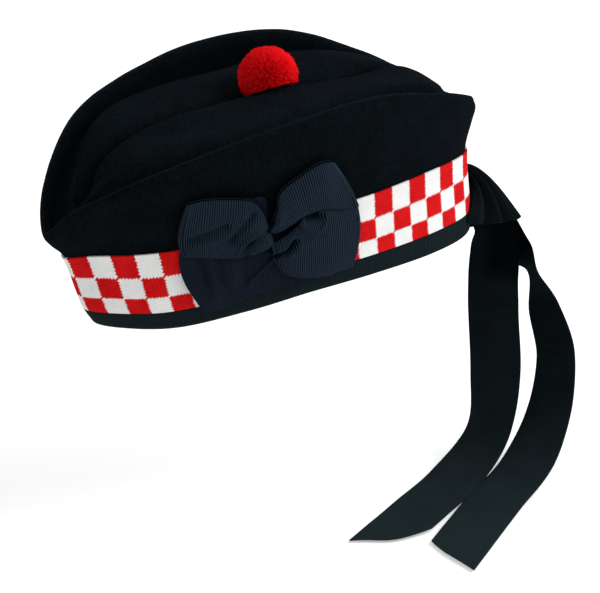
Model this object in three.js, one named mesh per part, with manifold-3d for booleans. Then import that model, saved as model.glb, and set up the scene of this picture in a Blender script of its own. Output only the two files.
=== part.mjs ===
// A glengarry: a boat-shaped wool cap with a diced band, a ribbon cockade, a toorie and two ribbon tails.
// Millimetres, +Z up, -Y is the wearer's front and +X the wearer's left.
// The origin is the middle of the head opening, level with the rim's front and back.
import * as THREE from 'three';
import { mergeVertices } from 'three/addons/utils/BufferGeometryUtils.js';
import Module from 'manifold-3d';

const wasm = await Module();
wasm.setup();

// Cloth sizes
const woolThickness = 2.2;
const tapeThickness = 1.2;
const ribbonThickness = 1.0;
const seam = 0.3;

// Smoothness of the round forms
const crownColumns = 60;
const edgeStep = 0.001;

// The crown is a stack of rings from the rim over the ridge, down into the trench behind it and over the
// top panel to the middle crease. Each ring has its reach to the front and back, its half width, how round
// its two ends are, how far it follows the lean of the ridge, the steps up to the next ring, and its
// heights at places spread evenly from front to back.
const crownRings = [
  {
    ring: 'rim', front: 113.5, back: 132, half: 56.5, nose: 1.9, tail: 1.85, lean: 0, steps: 1,
    rise: [1.5, 4.5, 7.5, 2, -1],
  },
  {
    ring: 'band foot', front: 118.5, back: 134, half: 55.5, nose: 1.9, tail: 1.87, lean: 0, steps: 3,
    rise: [12, 16, 19.5, 14.5, 11.5],
  },
  {
    ring: 'band top', front: 128.5, back: 139.5, half: 51.5, nose: 1.87, tail: 1.95, lean: 0, steps: 2,
    rise: [50.5, 54.5, 58.5, 54.5, 50.5],
  },
  {
    ring: 'shoulder', front: 135.5, back: 144.5, half: 61, nose: 1.87, tail: 1.9, lean: 0.4, steps: 2,
    rise: [60, 82, 94, 84, 66],
  },
  {
    ring: 'ridge outside', front: 139.5, back: 147.5, half: 67.8, nose: 1.86, tail: 1.86, lean: 0.9, steps: 2,
    rise: [65.5, 84.5, 104.5, 115.5, 122, 121.5, 105.5, 87, 75],
  },
  {
    ring: 'ridge', front: 138.5, back: 146, half: 66.5, nose: 1.86, tail: 1.86, lean: 1, steps: 2,
    rise: [69, 88.5, 108.5, 120, 126.5, 126, 110, 91, 79.5],
  },
  {
    ring: 'ridge inside', front: 135, back: 142, half: 62, nose: 1.88, tail: 1.88, lean: 0.9, steps: 2,
    rise: [68.5, 87, 106.5, 117.5, 124, 123.5, 108, 90, 78.5],
  },
  {
    ring: 'trench', front: 129, back: 135.5, half: 55, nose: 1.92, tail: 1.92, lean: 0.35, steps: 2,
    rise: [68, 81, 102, 109.5, 110, 110, 102, 87, 78],
  },
  {
    ring: 'panel edge', front: 121, back: 128, half: 47, nose: 2, tail: 2, lean: 0.6, steps: 2,
    rise: [74, 89, 114, 118.5, 118, 118.5, 113, 97.5, 84],
  },
  {
    ring: 'top panel', front: 118.5, back: 125.5, half: 28, nose: 2.3, tail: 2.3, lean: 0.2, steps: 2,
    rise: [76.5, 92, 115, 119.5, 121, 120, 114, 101, 87],
  },
  {
    ring: 'crease lip', front: 115, back: 122, half: 8, nose: 2.7, tail: 2.7, lean: 0, steps: 2,
    rise: [80.5, 94, 115.5, 119.5, 122, 118, 115.5, 103, 91],
  },
  {
    ring: 'crease', front: 111, back: 118, half: 0, nose: 2.7, tail: 2.7, lean: 0, steps: 0,
    rise: [84, 94, 106, 109.5, 111.5, 108, 106, 100, 94],
  },
];
// The wearer's right side of the ridge stands this much above the middle height, and the left side below it.
const ridgeLean = [0, 2.5, 5.5, 6, 5.3, 2, -4, -2, 0];

// Binding: a ribbon folded over the rim edge
const bindingTop = 0.96;
const bindingDrop = 1.0;
const bindingCorner = 0.5;

// Toorie: a pompom in the middle of the crease
const toorieRadius = 19;
const toorieCentre = new THREE.Vector3(0, 12, 128);
const toorieHead = 16;
const headSides = 16;
const headRings = 10;
const toorieLocks = 28;
const lockRoot = 7.2;
const lockTip = 3.6;
const lockLength = 9;
const lockSides = 5;

// Cockade, set out on the left wall: along runs to the back from the head opening's middle, low and high are
// heights above the rim plane, puff is how far the ribbon stands off the band, and bow bends the section.
const cockadeSeat = 2.1;
const cockadePieces = {
  cockade_base: [
    { along: -67, low: 30, high: 74, puff: 2.1, bow: -4 },
    { along: -60, low: 12, high: 78, puff: 2.1, bow: -1 },
    { along: -44, low: 9.5, high: 79, puff: 2.1, bow: 0 },
    { along: -20, low: 9.5, high: 80, puff: 2.1, bow: 0 },
    { along: 6, low: 9.5, high: 80, puff: 2.1, bow: 0 },
    { along: 26, low: 13, high: 74, puff: 2.1, bow: 0 },
    { along: 33, low: 26, high: 60, puff: 2.1, bow: 2 },
  ],
  cockade_left_loop: [
    { along: -24, low: 46, high: 58, puff: 8, bow: 0 },
    { along: -28, low: 44.5, high: 73, puff: 11, bow: 0 },
    { along: -38, low: 44, high: 78.5, puff: 12, bow: 0 },
    { along: -51, low: 45, high: 82, puff: 10, bow: -1 },
    { along: -61.5, low: 46, high: 84.5, puff: 7, bow: -4 },
    { along: -66, low: 47, high: 84, puff: 3.6, bow: -6 },
  ],
  cockade_right_loop: [
    { along: -14.5, low: 62, high: 74, puff: 6, bow: 0 },
    { along: -11, low: 61.5, high: 82, puff: 9, bow: 0 },
    { along: 2, low: 63, high: 87, puff: 10, bow: 0 },
    { along: 16, low: 64, high: 91.5, puff: 9, bow: 0 },
    { along: 24, low: 62.5, high: 88, puff: 7, bow: 1 },
    { along: 32, low: 59.5, high: 74, puff: 3.6, bow: 3 },
  ],
  cockade_lower_loop: [
    { along: -10, low: 41, high: 54, puff: 8, bow: 0 },
    { along: -6, low: 28, high: 58.5, puff: 11, bow: 0 },
    { along: 8, low: 20, high: 61.5, puff: 13, bow: 0 },
    { along: 20, low: 19, high: 61.5, puff: 11, bow: 0 },
    { along: 30, low: 21, high: 58, puff: 8, bow: 3 },
    { along: 34, low: 26, high: 55, puff: 3.6, bow: 5 },
  ],
  cockade_knot: [
    { along: -22.5, low: 48, high: 59, puff: 8, bow: 0 },
    { along: -19, low: 43, high: 60, puff: 13, bow: 0 },
    { along: -15, low: 40, high: 58, puff: 14, bow: 0 },
    { along: -11.5, low: 40, high: 52, puff: 9, bow: 0 },
  ],
};
const cockadeColumns = 8;
const cockadeEdge = 3.6;
const wallFoot = 0.01;
const wallTop = 4;
const wallMiddle = 2;
const wallTries = 12;

// Tail knot: a pleated hood of ribbon at the middle of the back, fanned from a gather down to its hem
const hoodGather = { half: 4, low: 27, top: 41, away: 136 };
const hoodHem = { half: 12, front: 131, end: 178, frontDrop: 6, endDrop: -7.5 };
const hoodBulge = 4.5;
const hoodFullness = 0.7;
const hoodFacing = { back: 0.6, up: 0.5 };
const hemSweep = 1.3;
const hoodPleats = 7;
const pleatDepth = 1.6;
const hoodColumns = 28;
const hoodRows = 6;

// Tails: the middle of the ribbon, how its width is turned from +X towards +Y and tilted up, its width there,
// and how far the left edge runs ahead of the right one.
const tailSections = {
  tail_left: [
    { x: 1.7, y: 147.5, z: 10, turn: 90, tilt: 0, width: 22, slant: 0 },
    { x: 2, y: 157.5, z: -9, turn: 88, tilt: 0, width: 27.5, slant: 0 },
    { x: 3.2, y: 156.6, z: -24, turn: 66, tilt: 3, width: 30.5, slant: 0 },
    { x: 7, y: 152.3, z: -42, turn: 44, tilt: 6, width: 33, slant: 0 },
    { x: 12, y: 148.5, z: -60, turn: 32, tilt: 7, width: 36.5, slant: 0 },
    { x: 22, y: 142, z: -100, turn: 27, tilt: 7, width: 38, slant: 0 },
    { x: 32.5, y: 129.5, z: -131, turn: 16, tilt: 7, width: 37.5, slant: 0 },
    { x: 50, y: 96, z: -146.5, turn: 24, tilt: 2, width: 38, slant: 0 },
    { x: 71, y: 60, z: -148, turn: 26, tilt: 0, width: 37.5, slant: 4 },
    { x: 88.5, y: 29, z: -149, turn: 28, tilt: 0, width: 38, slant: 34 },
  ],
  tail_right: [
    { x: -1.7, y: 147.5, z: 11, turn: 90, tilt: 0, width: 22, slant: 0 },
    { x: -2.8, y: 160, z: -8, turn: 84, tilt: 0, width: 26.3, slant: 0 },
    { x: -4, y: 174, z: -32, turn: 56, tilt: 0, width: 24, slant: 0 },
    { x: 2.5, y: 183, z: -47, turn: -10, tilt: 8, width: 30, slant: 0 },
    { x: 14, y: 185, z: -69, turn: 10, tilt: 27, width: 36, slant: 0 },
    { x: 30.5, y: 181, z: -93, turn: 15, tilt: 27, width: 38, slant: 0 },
    { x: 49, y: 164.5, z: -120, turn: 24, tilt: 18, width: 37.5, slant: 0 },
    { x: 69, y: 137, z: -140, turn: 31, tilt: 8, width: 38, slant: 0 },
    { x: 92, y: 103.5, z: -149, turn: 35, tilt: 1, width: 37.5, slant: 0 },
    { x: 132, y: 50, z: -149.5, turn: 35, tilt: 0, width: 38, slant: -25 },
  ],
};
const tailRows = 22;
const tailColumns = 3;

// Colours and finishes
const woolNavy = { color: 0x10131a, roughness: 0.95, metalness: 0 };
const tapeRed = { color: 0xc81a1c, roughness: 0.8, metalness: 0 };
const ribbonNavy = { color: 0x1b2536, roughness: 0.6, metalness: 0 };
const ribbonBlack = { color: 0x10181a, roughness: 0.55, metalness: 0 };
const toorieRed = { color: 0xd4191e, roughness: 1, metalness: 0 };

// Smooth height between places spread evenly from front to back, level at both ends
function alongRing(places, angle) {
  const fold = Math.abs(Math.atan2(Math.sin(angle), Math.cos(angle)));
  const last = places.length - 1;
  const place = fold / Math.PI * last;
  const index = Math.min(Math.floor(place), last - 1);
  const step = place - index;
  const slope = (k) => (k === 0 || k === last ? 0 : (places[k + 1] - places[k - 1]) / 2);
  const rise = places[index + 1] - places[index];
  const bend = slope(index) * (1 - step) * (1 - step) * step - slope(index + 1) * step * step * (1 - step);
  return places[index] + rise * step * step * (3 - 2 * step) + bend;
}

// Point of one ring at an angle counted from the front, through the wearer's left
function ringPoint(ring, angle) {
  const toFront = Math.cos(angle);
  const toLeft = Math.sin(angle);
  const reach = toFront > 0 ? ring.front : ring.back;
  const power = 2 / (toFront > 0 ? ring.nose : ring.tail);
  const x = ring.half * Math.sign(toLeft) * Math.abs(toLeft) ** power;
  const y = -reach * Math.sign(toFront) * Math.abs(toFront) ** power;
  const leaning = ring.lean * Math.sign(toLeft) * alongRing(ridgeLean, angle);
  return new THREE.Vector3(x, y, alongRing(ring.rise, angle) - leaning);
}

// Point on the outside of the wool, where level counts rings from the rim
function crownPoint(angle, level) {
  const points = crownRings.map((ring) => ringPoint(ring, angle));
  const curve = new THREE.CatmullRomCurve3(points, false, 'centripetal');
  return curve.getPoint(level / (points.length - 1));
}

// Outward direction there; the middle crease points straight up
function crownNormal(angle, level) {
  const top = crownRings.length - 1;
  if (level >= top) {
    return new THREE.Vector3(0, 0, 1);
  }
  const low = Math.max(level - edgeStep, 0);
  const around = crownPoint(angle + edgeStep, level).sub(crownPoint(angle - edgeStep, level));
  const upward = crownPoint(angle, level + edgeStep).sub(crownPoint(angle, low));
  return around.cross(upward).normalize();
}

// One ring of points round the crown, moved out from the wool by an offset
function crownRow(level, offset, drop = 0) {
  const row = [];
  for (let column = 0; column < crownColumns; column += 1) {
    const angle = 2 * Math.PI * column / crownColumns;
    const point = crownPoint(angle, level).addScaledVector(crownNormal(angle, level), offset);
    point.z -= drop;
    row.push(point);
  }
  return row;
}

// Levels of the rows between two rings, both included
function crownLevels(first, last) {
  const levels = [];
  for (let ring = first; ring < last; ring += 1) {
    for (let step = 0; step < crownRings[ring].steps; step += 1) {
      levels.push(ring + step / crownRings[ring].steps);
    }
  }
  levels.push(last);
  return levels;
}

// Geometry from loose triangles, with shared corners merged and the faces turned outward
function solidFrom(triangles) {
  let volume = 0;
  for (const [a, b, c] of triangles) {
    volume += a.dot(b.clone().cross(c));
  }
  const positions = [];
  for (const [a, b, c] of triangles) {
    const corners = volume > 0 ? [a, b, c] : [a, c, b];
    for (const corner of corners) {
      positions.push(corner.x, corner.y, corner.z);
    }
  }
  const geometry = new THREE.BufferGeometry();
  geometry.setAttribute('position', new THREE.Float32BufferAttribute(positions, 3));
  const merged = mergeVertices(geometry, edgeStep);
  merged.computeVertexNormals();
  return merged;
}

// Two triangles between four points in order
function quad(a, b, c, d) {
  return [[a, b, c], [a, c, d]];
}

// Triangles of a strip between two rows of points
function strip(lower, upper, closed) {
  const triangles = [];
  const count = lower.length;
  const last = closed ? count : count - 1;
  for (let k = 0; k < last; k += 1) {
    const next = (k + 1) % count;
    triangles.push(...quad(lower[k], lower[next], upper[next], upper[k]));
  }
  return triangles;
}

// Rows of points swept round and closed on themselves both ways, such as a folded binding
function ringSolid(rows) {
  const triangles = [];
  rows.forEach((row, k) => {
    triangles.push(...strip(row, rows[(k + 1) % rows.length], true));
  });
  return solidFrom(triangles);
}

// A sheet with four edges: its face rows and its back rows, joined all round
function sheetSolid(face, back) {
  const triangles = [];
  const reversed = back.map((row) => [...row].reverse());
  for (let k = 0; k < face.length - 1; k += 1) {
    triangles.push(...strip(face[k], face[k + 1], false));
    triangles.push(...strip(reversed[k], reversed[k + 1], false));
    const end = face[k].length - 1;
    triangles.push(...quad(back[k][0], face[k][0], face[k + 1][0], back[k + 1][0]));
    triangles.push(...quad(face[k][end], back[k][end], back[k + 1][end], face[k + 1][end]));
  }
  const top = face.length - 1;
  triangles.push(...strip(back[0], face[0], false));
  triangles.push(...strip(face[top], back[top], false));
  return solidFrom(triangles);
}

// The wool body: an outer and an inner skin that close along the crease and join at the rim
function crownGeometry() {
  const levels = crownLevels(0, crownRings.length - 1);
  const outer = levels.map((level) => crownRow(level, 0));
  const inner = levels.map((level) => crownRow(level, -woolThickness));
  const triangles = [];
  for (let k = 0; k < levels.length - 1; k += 1) {
    triangles.push(...strip(outer[k], outer[k + 1], true));
    triangles.push(...strip(inner[k + 1], inner[k], true));
  }
  triangles.push(...strip(inner[0], outer[0], true));
  return solidFrom(triangles);
}

// The filled outer form of the crown, moved out by an offset, for seating what is sewn on it
function crownForm(offset) {
  const levels = crownLevels(0, crownRings.length - 1);
  const skin = levels.map((level) => crownRow(level, offset));
  const middle = new THREE.Vector3(0, 0, 0);
  const triangles = [];
  for (let k = 0; k < levels.length - 1; k += 1) {
    triangles.push(...strip(skin[k], skin[k + 1], true));
  }
  skin[0].forEach((point, k) => {
    triangles.push([middle, skin[0][(k + 1) % crownColumns], point]);
  });
  return solidFrom(triangles);
}

function bandGeometry() {
  const levels = crownLevels(1, 2);
  const out = levels.map((level) => crownRow(level, seam + tapeThickness));
  const under = levels.map((level) => crownRow(level, seam)).reverse();
  return ringSolid([...out, ...under]);
}

function bindingGeometry() {
  const outside = seam + ribbonThickness;
  const inside = -woolThickness - seam - ribbonThickness;
  const bottom = seam + bindingDrop;
  return ringSolid([
    crownRow(bindingTop, outside),
    crownRow(0, outside),
    crownRow(0, outside - bindingCorner, bottom),
    crownRow(0, inside + bindingCorner, bottom),
    crownRow(0, inside),
    crownRow(bindingTop, inside),
    crownRow(bindingTop, inside + ribbonThickness),
    crownRow(0, inside + ribbonThickness, seam),
    crownRow(0, outside - ribbonThickness, seam),
    crownRow(bindingTop, outside - ribbonThickness),
  ]);
}

// Point on the left wall at a place along it and a height, standing off the wool by an offset
function wallPoint(along, height, offset) {
  let angle = Math.PI / 2;
  let level = wallMiddle;
  for (let round = 0; round < wallTries; round += 1) {
    const here = crownPoint(angle, level);
    const byAngle = crownPoint(angle + edgeStep, level).sub(here).divideScalar(edgeStep);
    const byLevel = crownPoint(angle, level + edgeStep).sub(here).divideScalar(edgeStep);
    const missAlong = along - here.y;
    const missHeight = height - here.z;
    const scale = byAngle.y * byLevel.z - byLevel.y * byAngle.z;
    angle += (missAlong * byLevel.z - missHeight * byLevel.y) / scale;
    level += (missHeight * byAngle.y - missAlong * byAngle.z) / scale;
    level = Math.min(Math.max(level, wallFoot), wallTop);
  }
  return crownPoint(angle, level).addScaledVector(crownNormal(angle, level), offset);
}

// A cockade ribbon: sections along the wall, domed between its low and high edges
function cockadeGeometry(sections) {
  const face = [];
  const back = [];
  for (const section of sections) {
    const faceRow = [];
    const backRow = [];
    for (let column = 0; column <= cockadeColumns; column += 1) {
      const across = column / cockadeColumns;
      const dome = Math.sin(Math.PI * across);
      const edge = Math.min(section.puff, cockadeEdge);
      const offset = edge + (section.puff - edge) * dome;
      const height = section.low + (section.high - section.low) * across;
      const along = section.along + section.bow * dome;
      faceRow.push(wallPoint(along, height, offset + ribbonThickness));
      backRow.push(wallPoint(along, height, Math.max(offset, cockadeSeat)));
    }
    face.push(faceRow);
    back.push(backRow);
  }
  return sheetSolid(face, back);
}

// A closed mesh as a solid that can be joined and cut, and back again
function toSolid(geometry) {
  const bare = new THREE.BufferGeometry();
  bare.setAttribute('position', geometry.getAttribute('position').clone());
  bare.setIndex(geometry.getIndex());
  const merged = mergeVertices(bare, edgeStep);
  const vertProperties = new Float32Array(merged.getAttribute('position').array);
  const triVerts = new Uint32Array(merged.getIndex().array);
  return new wasm.Manifold(new wasm.Mesh({ numProp: 3, vertProperties, triVerts }));
}

function fromSolid(solid) {
  const mesh = solid.getMesh();
  const geometry = new THREE.BufferGeometry();
  geometry.setAttribute('position', new THREE.Float32BufferAttribute(mesh.vertProperties, 3));
  geometry.setIndex(new THREE.Uint32BufferAttribute(mesh.triVerts, 1));
  geometry.computeVertexNormals();
  return geometry;
}

// A closed three.js form without its normals and texture places, ready to be joined
function bareForm(geometry) {
  geometry.deleteAttribute('normal');
  geometry.deleteAttribute('uv');
  return geometry;
}

// A round head with short blunt locks all over it, cut to the crease that it is sewn into
function toorieGeometry() {
  const head = bareForm(new THREE.SphereGeometry(toorieHead, headSides, headRings));
  const upright = new THREE.Vector3(0, 1, 0);
  const goldenAngle = Math.PI * (3 - Math.sqrt(5));
  head.translate(toorieCentre.x, toorieCentre.y, toorieCentre.z);
  let pompom = toSolid(head);
  for (let k = 0; k < toorieLocks; k += 1) {
    const up = 1 - 2 * (k + 0.5) / toorieLocks;
    const round = Math.sqrt(1 - up * up);
    const aim = new THREE.Vector3(round * Math.cos(k * goldenAngle), round * Math.sin(k * goldenAngle), up);
    const lock = bareForm(new THREE.CylinderGeometry(lockTip, lockRoot, lockLength, lockSides));
    lock.translate(0, toorieRadius - lockLength / 2, 0);
    lock.applyQuaternion(new THREE.Quaternion().setFromUnitVectors(upright, aim));
    lock.translate(toorieCentre.x, toorieCentre.y, toorieCentre.z);
    pompom = pompom.add(toSolid(lock));
  }
  return fromSolid(pompom.subtract(toSolid(crownForm(seam))));
}

// The pleated hood at the back: rays from the gather to the hem, rippled by its pleats
function hoodPoint(across, down, offset) {
  const turn = Math.PI * across;
  const side = Math.cos(turn);
  const out = Math.sin(turn);
  const gatherHeight = hoodGather.low + (hoodGather.top - hoodGather.low) * out;
  const gather = new THREE.Vector3(hoodGather.half * side, hoodGather.away, gatherHeight);
  const hemAway = hoodHem.front + (hoodHem.end - hoodHem.front) * out ** hemSweep;
  const hemDrop = hoodHem.frontDrop + (hoodHem.endDrop - hoodHem.frontDrop) * out;
  const hem = new THREE.Vector3(hoodHem.half * side, hemAway, hemDrop);
  const away = new THREE.Vector3(side, hoodFacing.back * out, hoodFacing.up * out).normalize();
  const ripple = pleatDepth * down * Math.sin(2 * Math.PI * hoodPleats * across);
  const bulge = hoodBulge * Math.sin(Math.PI * down ** hoodFullness) + ripple + offset;
  return gather.lerp(hem, down).addScaledVector(away, bulge);
}

function hoodGeometry() {
  const face = [];
  const back = [];
  for (let row = 0; row <= hoodRows; row += 1) {
    const faceRow = [];
    const backRow = [];
    for (let column = 0; column <= hoodColumns; column += 1) {
      faceRow.push(hoodPoint(column / hoodColumns, row / hoodRows, 0));
      backRow.push(hoodPoint(column / hoodColumns, row / hoodRows, -ribbonThickness));
    }
    face.push(faceRow);
    back.push(backRow);
  }
  const hood = toSolid(sheetSolid(face, back));
  return fromSolid(hood.subtract(toSolid(crownForm(2 * seam + tapeThickness))));
}

// A ribbon tail swept through its sections, each with its own turn, tilt and width
function tailGeometry(sections) {
  const middles = sections.map((section) => new THREE.Vector3(section.x, section.y, section.z));
  const path = new THREE.CatmullRomCurve3(middles, false, 'centripetal');
  const last = sections.length - 1;
  const face = [];
  const back = [];
  for (let row = 0; row <= tailRows; row += 1) {
    const place = row / tailRows * last;
    const index = Math.min(Math.floor(place), last - 1);
    const step = place - index;
    const [above, below] = [sections[index], sections[index + 1]];
    const value = (column) => THREE.MathUtils.lerp(above[column], below[column], step);
    const turn = THREE.MathUtils.degToRad(value('turn'));
    const tilt = THREE.MathUtils.degToRad(value('tilt'));
    const middle = path.getPoint(row / tailRows);
    const onward = path.getTangent(row / tailRows);
    const flat = Math.cos(tilt);
    const across = new THREE.Vector3(flat * Math.cos(turn), flat * Math.sin(turn), Math.sin(tilt));
    across.addScaledVector(onward, -across.dot(onward)).normalize();
    const facing = onward.clone().cross(across);
    const faceRow = [];
    const backRow = [];
    for (let column = 0; column <= tailColumns; column += 1) {
      const side = column / tailColumns - 0.5;
      const point = middle.clone();
      point.addScaledVector(across, side * value('width'));
      point.addScaledVector(onward, -side * value('slant'));
      faceRow.push(point.clone().addScaledVector(facing, ribbonThickness / 2));
      backRow.push(point.clone().addScaledVector(facing, -ribbonThickness / 2));
    }
    face.push(faceRow);
    back.push(backRow);
  }
  return sheetSolid(face, back);
}

const group = new THREE.Group();

function addPiece(name, geometry, finish) {
  const mesh = new THREE.Mesh(geometry, new THREE.MeshStandardMaterial(finish));
  mesh.name = name;
  group.add(mesh);
}

addPiece('crown', crownGeometry(), woolNavy);
addPiece('dicing_band', bandGeometry(), tapeRed);
addPiece('binding', bindingGeometry(), ribbonNavy);
addPiece('toorie', toorieGeometry(), toorieRed);
for (const [name, sections] of Object.entries(cockadePieces)) {
  addPiece(name, cockadeGeometry(sections), ribbonNavy);
}
addPiece('tail_knot', hoodGeometry(), ribbonBlack);
for (const [name, sections] of Object.entries(tailSections)) {
  addPiece(name, tailGeometry(sections), ribbonBlack);
}

export default group;
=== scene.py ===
import math
import bmesh
import bpy
import numpy as np
from mathutils import Matrix, Vector, noise
from mathutils.bvhtree import BVHTree


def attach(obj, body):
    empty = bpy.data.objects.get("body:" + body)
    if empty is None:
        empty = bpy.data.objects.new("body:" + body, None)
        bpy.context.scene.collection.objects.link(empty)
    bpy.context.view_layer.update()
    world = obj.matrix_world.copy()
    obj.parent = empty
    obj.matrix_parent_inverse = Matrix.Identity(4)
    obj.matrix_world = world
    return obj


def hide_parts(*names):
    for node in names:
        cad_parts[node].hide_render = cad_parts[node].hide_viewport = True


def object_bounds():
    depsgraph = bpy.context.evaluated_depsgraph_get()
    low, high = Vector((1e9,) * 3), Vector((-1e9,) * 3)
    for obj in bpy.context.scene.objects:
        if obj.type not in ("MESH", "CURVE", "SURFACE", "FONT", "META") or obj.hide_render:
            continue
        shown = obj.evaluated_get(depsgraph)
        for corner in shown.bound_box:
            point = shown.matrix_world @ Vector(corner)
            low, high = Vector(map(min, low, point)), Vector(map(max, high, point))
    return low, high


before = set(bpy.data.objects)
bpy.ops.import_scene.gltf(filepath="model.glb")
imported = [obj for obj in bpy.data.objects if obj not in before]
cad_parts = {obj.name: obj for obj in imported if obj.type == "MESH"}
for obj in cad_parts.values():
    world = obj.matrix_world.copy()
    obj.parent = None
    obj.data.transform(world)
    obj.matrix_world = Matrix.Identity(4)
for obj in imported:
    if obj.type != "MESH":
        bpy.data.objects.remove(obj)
cad_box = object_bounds()

# Camera
# The cap is seen from its left side, a little from the front and from above,
# through a long lens that is turned a few degrees.
camera_turn = math.radians(66.3)
camera_rise = math.radians(25)
camera_roll = math.radians(5)
camera_distance = 2.215
camera_aim = (0.02098, -0.01317)
camera_lens = 217.96


def set_camera():
    back = Vector((
        math.sin(camera_turn) * math.cos(camera_rise),
        -math.cos(camera_turn) * math.cos(camera_rise),
        math.sin(camera_rise),
    ))
    level_right = Vector((math.cos(camera_turn), math.sin(camera_turn), 0))
    level_up = back.cross(level_right)
    right = level_right * math.cos(camera_roll) - level_up * math.sin(camera_roll)
    up = level_right * math.sin(camera_roll) + level_up * math.cos(camera_roll)
    place = back * camera_distance
    aim = right * camera_aim[0] + up * camera_aim[1]
    away = (place - aim).normalized()
    across = up.cross(away).normalized()
    turn = Matrix((across, away.cross(across), away)).transposed()
    camera = bpy.data.objects.new("camera", bpy.data.cameras.new("camera"))
    camera.data.lens = camera_lens
    camera.data.clip_end = 50
    camera.matrix_world = Matrix.Translation(place) @ turn.to_4x4()
    bpy.context.scene.collection.objects.link(camera)
    bpy.context.scene.camera = camera


set_camera()

# Crown
# The wool body of the cap: felted cloth about 2 mm thick, almost black navy, cut as two sides and a top,
# sewn together along the ridge and creased down the middle so that the cap folds flat.
mm = 0.001
wool_thickness = 2.2
crown_rings = (
    # Reach to the front and back, half width, roundness of nose and tail, share of the lean (with its own
    # one at the back of the top), how far the crease gapes in front, and heights at places spread evenly
    # from front to back, for each ring from the rim over the ridge to the crease.
    dict(front=113.5, back=138, half=56.5, nose=1.75, tail=1.85, lean=0,
         rise=(1.5, 2.3, 2.4, 7.3, 10.8, 9, 4.8, 0.8, -1)),
    dict(front=118.5, back=139, half=55.5, nose=1.75, tail=1.87, lean=0,
         rise=(11.5, 12.8, 13, 17.3, 21.8, 20.4, 17.5, 13.8, 12)),
    dict(front=128.5, back=139.5, half=51.5, nose=1.65, tail=1.95, lean=0,
         rise=(47.5, 51, 50.7, 53, 57.5, 57.5, 56.8, 53.3, 51)),
    dict(front=135.5, back=144.5, half=61, nose=1.75, tail=1.9, lean=0.4, rise=(56, 81, 94, 84, 66)),
    dict(front=139.5, back=147.5, half=67.8, nose=1.86, tail=1.86, lean=0.9,
         rise=(62, 81.3, 104.5, 117, 123.5, 121.6, 103.4, 83.5, 73.5)),
    dict(front=138.5, back=146, half=66.5, nose=1.86, tail=1.86, lean=1,
         rise=(65.5, 84.8, 108.5, 121.6, 128.2, 126.2, 107.6, 87, 78)),
    dict(front=135, back=142, half=62, nose=1.88, tail=1.88, lean=0.9,
         rise=(65.5, 83.8, 106.5, 119, 125.5, 123.6, 105.7, 86.3, 77.5)),
    dict(front=130.5, back=137, half=57.5, nose=1.92, tail=1.92, lean=0.35,
         rise=(66, 79.6, 102, 109.5, 110, 110, 97.6, 82, 77)),
    dict(front=121, back=128, half=47, nose=2, tail=2, lean=0.7, back_lean=0.93,
         rise=(72.5, 85.8, 110.5, 116.5, 116.5, 119.5, 112.7, 95.5, 83)),
    dict(front=120, back=127, half=39, nose=2.15, tail=2.15, lean=0.4, back_lean=0.64,
         rise=(74.5, 88.5, 112.8, 118.4, 119.4, 121.2, 113.9, 98.5, 84)),
    dict(front=118.5, back=125.5, half=28, nose=2.3, tail=2.3, lean=0.2, back_lean=0.54,
         rise=(76, 90, 112.8, 118.3, 121, 120.6, 114.3, 100, 85.5)),
    dict(front=115, back=122, half=4, gape=5, nose=6, tail=2.7, lean=-0.3, back_lean=0.54,
         rise=(76, 82, 100, 112, 118.6, 115, 114.1, 100, 88)),
    dict(front=113, back=118, half=0, nose=6, tail=2.7, lean=0,
         rise=(71, 75, 93, 105, 110.5, 106.5, 103.5, 95, 88)),
)
ridge_lean = (0, 0, 5.5, 4.4, 3.6, 1.8, -1.9, -5, 0)
crease_level = len(crown_rings) - 1
crown_columns = 288
rows_per_ring = 11
lining_rows_per_ring = 2
toorie_nest = dict(across=12, along=11, reach=9, length=12, rise=3.4, start=7)
felt_swell = dict(rise=0.28, size=17, seed=3.7, start=2)
ridge_level = 5
ridge_press = 1
ridge_press_width = 0.14
# Painted highlight: a lighter tone along the ridge crest
ridge_painted_highlight = dict(level=5.08, width=0.26, tone=0.15)
# Painted shade: a darker tone in the trench inside the ridge
trench_shade = dict(level=6.9, width=0.75, tone=-0.09)
# Painted shade: a darker tone down the middle crease
crease_shade = dict(level=crease_level, width=0.6, tone=-0.12)
# Painted light: a lighter tone over the top panels
top_painted_light = dict(level=9.4, width=1.9, tone=0.075)


def smooth_between(values, place, level_ends=False):
    """Values at evenly spread places, joined by a smooth curve, which can leave both ends level."""
    values = np.asarray(values, float)
    last = len(values) - 1
    index = np.clip(np.floor(place).astype(int), 0, last - 1)
    step = place - index
    slopes = np.gradient(values)
    if level_ends:
        slopes[0] = slopes[-1] = 0
    here, there = values[index], values[index + 1]
    bend = slopes[index] * (1 - step) ** 2 * step - slopes[index + 1] * step**2 * (1 - step)
    return here + (there - here) * step**2 * (3 - 2 * step) + bend


def along_ring(places, angle):
    """Height between places that are spread evenly from the front, at angle 0, to the back."""
    fold = np.abs(np.arctan2(np.sin(angle), np.cos(angle)))
    return smooth_between(places, fold / np.pi * (len(places) - 1), level_ends=True)


def ring_point(ring, angle):
    to_front, to_left = np.cos(angle), np.sin(angle)
    ahead = to_front > 0
    reach = np.where(ahead, ring["front"], ring["back"])
    power = np.where(ahead, 2 / ring["nose"], 2 / ring["tail"])
    half = ring["half"] + ring.get("gape", 0) * np.maximum(to_front, 0)
    x = half * np.sign(to_left) * np.abs(to_left) ** power
    y = -reach * np.sign(to_front) * np.abs(to_front) ** power
    lean = along_ring(ridge_lean, angle)
    share = np.where(lean > 0, ring["lean"], ring.get("back_lean", ring["lean"]))
    return np.stack((x, y, along_ring(ring["rise"], angle) - share * lean * np.sign(to_left)), -1)


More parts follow.
